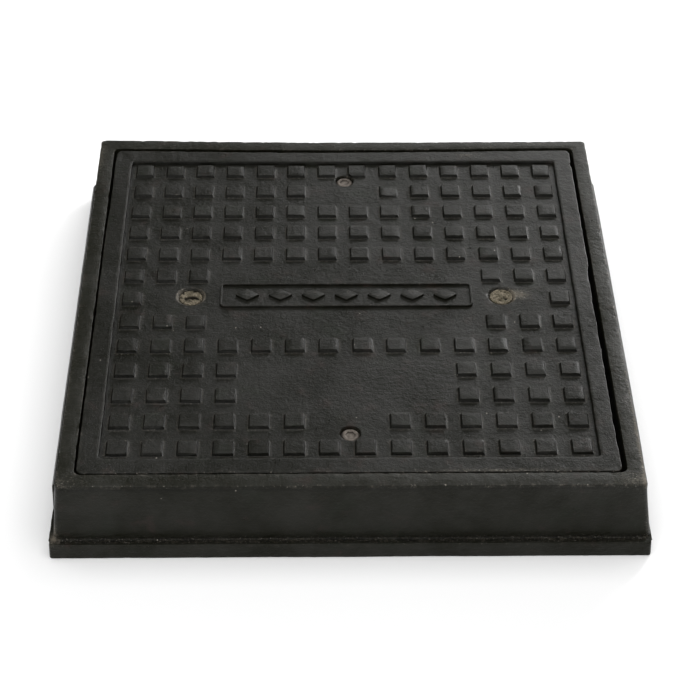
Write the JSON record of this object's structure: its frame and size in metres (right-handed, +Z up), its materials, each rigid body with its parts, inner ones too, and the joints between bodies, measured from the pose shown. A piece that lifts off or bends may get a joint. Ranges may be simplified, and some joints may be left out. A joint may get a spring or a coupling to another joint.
{
  "type": "square manhole cover and frame",
  "caption": "Square studded cast-iron access cover, locked by two recessed screws and lifted by two plugged keyholes, seated on a gasket in a low flanged frame.",
  "frame": {"origin": "centre of the frame's underside, where the base flange rests on its bed", "axes": "+Z up through the cover, +X towards the right keyhole, -Y towards the front locking screw"},
  "size_m": [0.604, 0.604, 0.09],
  "materials": {
    "frame_iron": "black bitumen paint over rough cast iron, worn along the edges",
    "cover_iron": "black bitumen paint over rough cast iron, worn along the edges",
    "gasket_rubber": "matte",
    "seal_rubber": "matte",
    "bush_brass": "turned",
    "bar_steel": "dull zinc",
    "cup_steel": "black coating",
    "screw_steel": "dull zinc",
    "lock_steel": "weathered, dusty",
    "plug_cork": "crumbled cork, dusty"
  },
  "bodies": {
    "frame": {"frame_casting": "frame_iron", "seating_gasket": "gasket_rubber", "rear_lock_bush": "bush_brass", "front_lock_bush": "bush_brass"},
    "cover": {"cover_casting": "cover_iron", "left_key_bar": "bar_steel", "right_key_bar": "bar_steel", "left_key_cup": "cup_steel", "right_key_cup": "cup_steel", "left_cup_seal": "seal_rubber", "right_cup_seal": "seal_rubber", "left_cup_screws": "screw_steel", "right_cup_screws": "screw_steel", "rear_bolt_seal": "seal_rubber", "front_bolt_seal": "seal_rubber"},
    "left_plug": {"left_key_plug": "plug_cork"},
    "right_plug": {"right_key_plug": "plug_cork"},
    "rear_screw_travel": {"rear_bolt_washer": "screw_steel"},
    "rear_screw": {"rear_lock_bolt": "lock_steel", "rear_bolt_clip": "screw_steel"},
    "front_screw_travel": {"front_bolt_washer": "screw_steel"},
    "front_screw": {"front_lock_bolt": "lock_steel", "front_bolt_clip": "screw_steel"}
  },
  "joints": [
    {"name": "cover_lift", "type": "slide", "parent": "frame", "child": "cover", "axis": [0, 0, 1], "range_m": [0, 0.15]},
    {"name": "left_plug_pull", "type": "slide", "parent": "cover", "child": "left_plug", "axis": [0, 0, 1], "range_m": [0, 0.04]},
    {"name": "right_plug_pull", "type": "slide", "parent": "cover", "child": "right_plug", "axis": [0, 0, 1], "range_m": [0, 0.04]},
    {"name": "rear_screw_rise", "type": "slide", "parent": "cover", "child": "rear_screw_travel", "axis": [0, 0, 1], "range_m": [0, 0.014]},
    {"name": "rear_screw_turn", "type": "hinge", "parent": "rear_screw_travel", "child": "rear_screw", "pos_m": [0, 0.2152, 0.072], "axis": [0, 0, 1], "range_deg": [0, 2880]},
    {"name": "front_screw_rise", "type": "slide", "parent": "cover", "child": "front_screw_travel", "axis": [0, 0, 1], "range_m": [0, 0.014]},
    {"name": "front_screw_turn", "type": "hinge", "parent": "front_screw_travel", "child": "front_screw", "pos_m": [0, -0.212, 0.072], "axis": [0, 0, 1], "range_deg": [0, 2880]}
  ],
  "couplings": [
    {"joint": "rear_screw_turn", "follows": "rear_screw_rise", "rad_per_m": 3590.4},
    {"joint": "front_screw_turn", "follows": "front_screw_rise", "rad_per_m": 3590.4}
  ]
}
